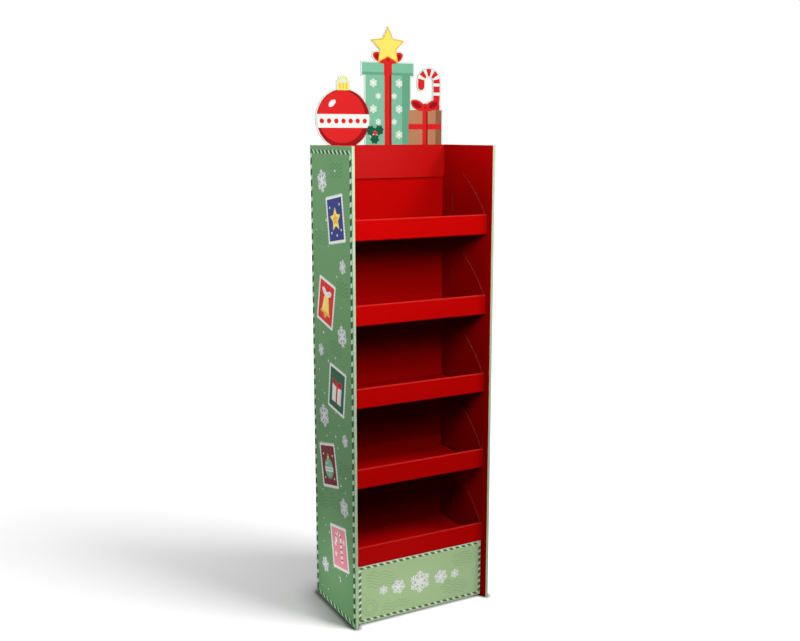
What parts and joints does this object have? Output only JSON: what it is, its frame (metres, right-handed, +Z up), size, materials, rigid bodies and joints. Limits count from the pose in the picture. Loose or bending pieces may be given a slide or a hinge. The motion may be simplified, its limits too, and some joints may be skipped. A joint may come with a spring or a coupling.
{
  "type": "floor standing display unit",
  "caption": "Tall folded-card retail display with hollow side walls, lipped shelf trays, a plinth and a die-cut header card.",
  "frame": {"origin": "middle of the footprint at floor level", "axes": "+Z up, -Y towards the open front, +X to the right as seen from the front"},
  "size_m": [0.46, 0.29, 1.7475],
  "materials": {
    "body_board": "printed, satin",
    "tray_board": "printed, satin",
    "header_board": "printed, satin",
    "plinth_board": "printed, satin",
    "plain_board": "plain, matt"
  },
  "bodies": {
    "root": {"body_wrap": "body_board", "header_card": "header_board", "plinth": "plinth_board", "base_tray": "plain_board", "base_rib_long": "plain_board", "base_rib_left": "plain_board", "base_rib_right": "plain_board", "shelf_tray_1": "tray_board", "shelf_tray_2": "tray_board", "shelf_tray_3": "tray_board", "shelf_tray_4": "tray_board", "shelf_tray_5": "tray_board"}
  },
  "joints": []
}
